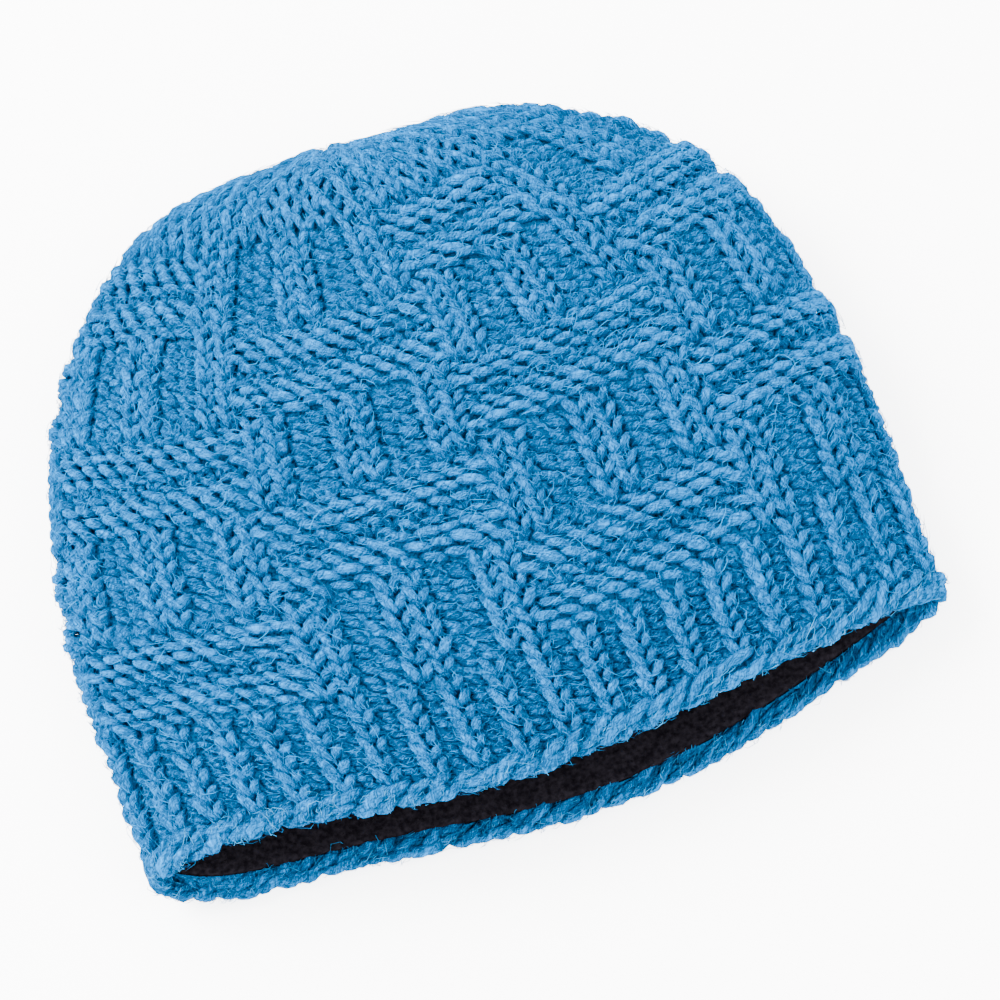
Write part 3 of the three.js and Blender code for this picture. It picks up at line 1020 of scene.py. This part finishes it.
def hairs(nodes, across, travel, seed, thinness):
    """Thin lines that follow the yarn: the places where a stretched noise crosses its middle."""
    place = nodes.node("ShaderNodeCombineXYZ", inputs={0: across, 1: travel, 2: seed})
    noise = nodes.node(
        "ShaderNodeTexNoise", {}, {"Vector": place, "Scale": 1.0, "Detail": 1.0, "Roughness": 0.5}
    )
    line = 1 - (noise - 0.5).absolute() * thinness
    return line.at_least(0.0)


def wool(name, dark, mid, light, streaks):
    """Soft wool: fine fibres and loose hairs follow each strand's own coordinates and twist; painted
    highlights lie along some hairs, painted shade in the gaps between hairs, in the ply grooves and on low
    corners.
    """
    nodes = Nodes(name)
    yarn = nodes.node("ShaderNodeUVMap", {"uv_map": "yarn"})
    tone = nodes.node("ShaderNodeAttribute", {"attribute_name": "tone"}, output="Fac")
    height = nodes.node("ShaderNodeAttribute", {"attribute_name": "height"}, output="Fac")
    place = nodes.node("ShaderNodeTexCoord", output="Object")
    turn = nodes.node("ShaderNodeSeparateXYZ", inputs={0: yarn})
    travel = Value(nodes, turn.socket.node.outputs[1])
    stray = nodes.node("ShaderNodeTexNoise", {}, {"Vector": place, "Scale": STRAY_SCALE, "Detail": 1.0})
    twisted = turn + travel * (1 / TWIST_LENGTH) + (stray - 0.5) * TWIST_STRAY
    fibre_place = nodes.node(
        "ShaderNodeCombineXYZ",
        inputs={0: twisted * FIBRES_ROUND, 1: travel * FIBRES_PER_MM, 2: tone * 40},
    )
    fibres = nodes.node(
        "ShaderNodeTexNoise", {}, {"Vector": fibre_place, "Scale": 1.0, "Detail": 3.0, "Roughness": 0.7}
    )
    clumps = nodes.node("ShaderNodeTexNoise", {}, {"Vector": fibre_place, "Scale": 0.3, "Detail": 1.0})
    # Thin hair lines that carry painted highlights in the colour and also raise the bump.
    highlight_hairs = hairs(nodes, twisted * 15, travel * 0.35 + turn, tone * 30, 10.0)
    # Thin lines for the gaps between hairs, which carry painted shade in the colour and also lower the
    # bump.
    hair_gap_shade = hairs(nodes, turn * 13 - travel * 0.35, travel * 0.3, tone * 20 + 7, 11.0)
    # Ply grooves: painted shade in the colour, and a real dip in the bump.
    ply = (twisted * (2 * math.pi)).sine().absolute()
    shade = (
        BASE_SHADE
        + (fibres - 0.5) * streaks
        + (clumps - 0.5) * CLUMP_SHADE
        # Painted shade in the ply grooves.
        + (ply - MEAN_PLY) * PAINTED_PLY_GROOVE_SHADE
        # Painted highlights along thin hairs.
        + highlight_hairs * PAINTED_HAIR_HIGHLIGHT
        # Painted shade in the gaps between hairs.
        - hair_gap_shade * PAINTED_GAP_SHADE
        + (tone - 0.5) * TONE_SHADE
        # Painted shade: the lower corners of each strand are painted darker by their height.
        + (height - HEIGHT_OF_TOPS) * PAINTED_SHADE_PER_MM
    )
    stops = ((0.1, dark), (0.5, mid), (0.95, light))
    tint = nodes.node("ShaderNodeValToRGB", {"stops": stops}, {0: shade})
    nodes.feed(nodes.shader.inputs["Base Color"], tint)
    nodes.shader.inputs["Roughness"].default_value = 0.9
    nodes.shader.inputs["Specular IOR Level"].default_value = 0.01
    bump = nodes.node(
        "ShaderNodeBump",
        inputs={
            "Strength": 1.0, "Distance": 0.0006,
            "Height": fibres + ply * 0.25 + highlight_hairs * 0.5 - hair_gap_shade * 0.5,
        },
    )
    nodes.feed(nodes.shader.inputs["Normal"], bump)
    return nodes.material


def loose_wool(name, dark, mid, light):
    """Loose fibres take one tone each, with painted shade that darkens the lower ones by their height."""
    nodes = Nodes(name)
    tone = nodes.node("ShaderNodeAttribute", {"attribute_name": "tone"}, output="Fac")
    height = nodes.node("ShaderNodeAttribute", {"attribute_name": "height"}, output="Fac")
    # Painted shade: lower fibres are painted darker by their height.
    shade = tone + (height - HEIGHT_OF_TOPS) * PAINTED_SHADE_PER_MM
    stops = ((0.0, dark), (0.45, mid), (1.0, light))
    tint = nodes.node("ShaderNodeValToRGB", {"stops": stops}, {0: shade})
    nodes.feed(nodes.shader.inputs["Base Color"], tint)
    nodes.shader.inputs["Roughness"].default_value = 0.7
    nodes.shader.inputs["Specular IOR Level"].default_value = 0.02
    return nodes.material


wool_blue = wool("blue_wool", (0, 0.042, 0.122), (0, 0.081, 0.232), (0, 0.158, 0.44), 3.6)
wool_fuzz = loose_wool("wool_fuzz", (0, 0.032, 0.094), (0, 0.095, 0.265), (0, 0.215, 0.54))
rim_fuzz = loose_wool("rim_fuzz", (0, 0.05, 0.14), (0, 0.12, 0.3), (0.03, 0.23, 0.48))


def napped(name, low, high, grain_scale, roughness):
    """A matt cloth whose nap breaks up into grains."""
    nodes = Nodes(name)
    place = nodes.node("ShaderNodeTexCoord", output="Object")
    grain = nodes.node("ShaderNodeTexNoise", {}, {"Vector": place, "Scale": grain_scale, "Detail": 4.0})
    shades = nodes.node("ShaderNodeValToRGB", {"stops": ((0.35, low), (0.7, high))}, {0: grain})
    nodes.feed(nodes.shader.inputs["Base Color"], shades)
    nodes.shader.inputs["Roughness"].default_value = roughness
    nodes.shader.inputs["Specular IOR Level"].default_value = 0.02
    nodes.feed(
        nodes.shader.inputs["Normal"],
        nodes.node("ShaderNodeBump", inputs={"Strength": 0.6, "Distance": 0.0008, "Height": grain}),
    )
    return nodes.material


backing_wool = napped("deep_wool", (0, 0.03, 0.09), (0, 0.16, 0.43), 1300.0, 0.95)
fleece = napped("black_fleece", (0.0022, 0.0018, 0.0028), (0.009, 0.0078, 0.0105), 700.0, 1.0)
print("materials", [look.name for look in (wool_blue, wool_fuzz, rim_fuzz, backing_wool, fleece)])

# %% [markdown]
# Each piece gets its material in a slot and rides on the root body, and the frame's solids that the
# pieces stand in for are hidden. The fleece band lies inside the brim.

# %% Dress the frame
for piece in [edge, brim, crown, *tiers]:
    piece.data.materials.append(wool_blue)
for piece in [brim_fuzz, *tier_fuzz, crown_fuzz]:
    piece.data.materials.append(wool_fuzz)
edge_fuzz.data.materials.append(rim_fuzz)
for piece in [edge, brim, crown, *tiers, edge_fuzz, brim_fuzz, *tier_fuzz, crown_fuzz]:
    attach(piece, "root")
backing.data.materials.append(backing_wool)
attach(backing, "root")
for piece in (lining, nap):
    piece.data.materials.append(fleece)
    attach(piece, "root")
for piece in (edge, edge_fuzz):
    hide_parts("cast_on_edge")
for piece in (brim, brim_fuzz):
    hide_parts("rib_brim")
for piece in (*tiers, *tier_fuzz):
    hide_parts("basketweave_body")
for piece in (crown, crown_fuzz):
    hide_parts("crown_top")
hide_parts("basketweave_body")
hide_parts("fleece_lining")
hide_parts("fleece_lining")
print("wool pieces", 2 * (len(tiers) + 3) + 1, "and fleece pieces", 2)

# %% [markdown]
# The table is a wide pale plane, and the light is soft: a large lamp up on the left, as the shadow at
# the lower right of the rim tells, a weaker one opposite, and a bright plain world.

# %% Table, lamps and world
TABLE_SIZE = 6.0
TABLE_DROP = 0.0001
LAMP_AIM = (0, 0, 0.02)
bpy.ops.object.select_all(action="DESELECT")
bpy.ops.mesh.primitive_plane_add(size=TABLE_SIZE, location=(0, 0, -TABLE_DROP))
table = bpy.context.object
table.name = "table"
table_nodes = Nodes("pale_table")
table_nodes.shader.inputs["Base Color"].default_value = (0.9, 0.9, 0.9, 1)
table_nodes.shader.inputs["Roughness"].default_value = 0.9
table_nodes.shader.inputs["Emission Color"].default_value = (1, 1, 1, 1)
table_nodes.shader.inputs["Emission Strength"].default_value = 4.0
table.data.materials.append(table_nodes.material)


def lamp(name, location, size, power):
    """A square lamp that shines at the hat; size is in metres and power in watts."""
    bpy.ops.object.light_add(type="AREA", location=location)
    light = bpy.context.object
    light.name = name
    light.data.size = size
    light.data.energy = power
    light.rotation_euler = (Vector(location) - Vector(LAMP_AIM)).to_track_quat("Z", "Y").to_euler()
    print(name, power, "W")


lamp("key_lamp", (-0.9, 0.7, 1.3), size=1.0, power=138.0)
lamp("fill_lamp", (1.0, -0.8, 1.2), size=1.2, power=30.0)

world = bpy.data.worlds.new("studio")
bpy.context.scene.world = world
world.use_nodes = True
world.node_tree.nodes["Background"].inputs["Color"].default_value = (1, 1, 1, 1)
world.node_tree.nodes["Background"].inputs["Strength"].default_value = 4.6
